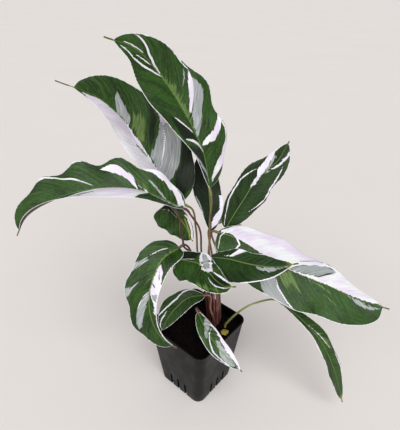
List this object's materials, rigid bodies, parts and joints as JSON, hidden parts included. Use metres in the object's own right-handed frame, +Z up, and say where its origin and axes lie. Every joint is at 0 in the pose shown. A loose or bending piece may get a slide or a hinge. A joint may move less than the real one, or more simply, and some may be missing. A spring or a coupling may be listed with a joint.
{
  "type": "potted calathea",
  "caption": "Potted prayer plant with long pointed variegated leaves on slim stalks, in a small square nursery pot filled with soil.",
  "frame": {"origin": "middle of the pot's base, on the surface the pot stands on", "axes": "+Z up; the pot's sides run along X and Y; the plant's show side looks towards -X and -Y, 49.5 degrees round from -Y"},
  "size_m": [0.2323, 0.3173, 0.4257],
  "materials": {
    "leaf": "satin green leaf, marked with white and pale green",
    "stalk": "matt maroon brown",
    "dry_sheath": "dry matt yellow",
    "soil": "crumbly dark potting soil",
    "pot": "satin charcoal plastic"
  },
  "bodies": {
    "root": {"top_blade": "leaf", "top_stalk": "stalk", "upperLeft_blade": "leaf", "upperLeft_stalk": "stalk", "left_blade": "leaf", "left_stalk": "stalk", "upright_blade": "leaf", "upright_stalk": "stalk", "smallLeft_blade": "leaf", "smallLeft_stalk": "stalk", "upperRight_blade": "leaf", "upperRight_stalk": "stalk", "right_blade": "leaf", "right_stalk": "stalk", "frontRight_blade": "leaf", "frontRight_stalk": "stalk", "front_blade": "leaf", "front_stalk": "stalk", "lowerLeft_blade": "leaf", "lowerLeft_stalk": "stalk", "lowLeft_blade": "leaf", "lowLeft_stalk": "stalk", "lowFront_blade": "leaf", "lowFront_stalk": "stalk", "droopingRight_blade": "leaf", "droopingRight_stalk": "stalk", "back_blade": "leaf", "back_stalk": "stalk", "dry_sheath": "dry_sheath", "soil": "soil", "pot": "pot"}
  },
  "joints": []
}
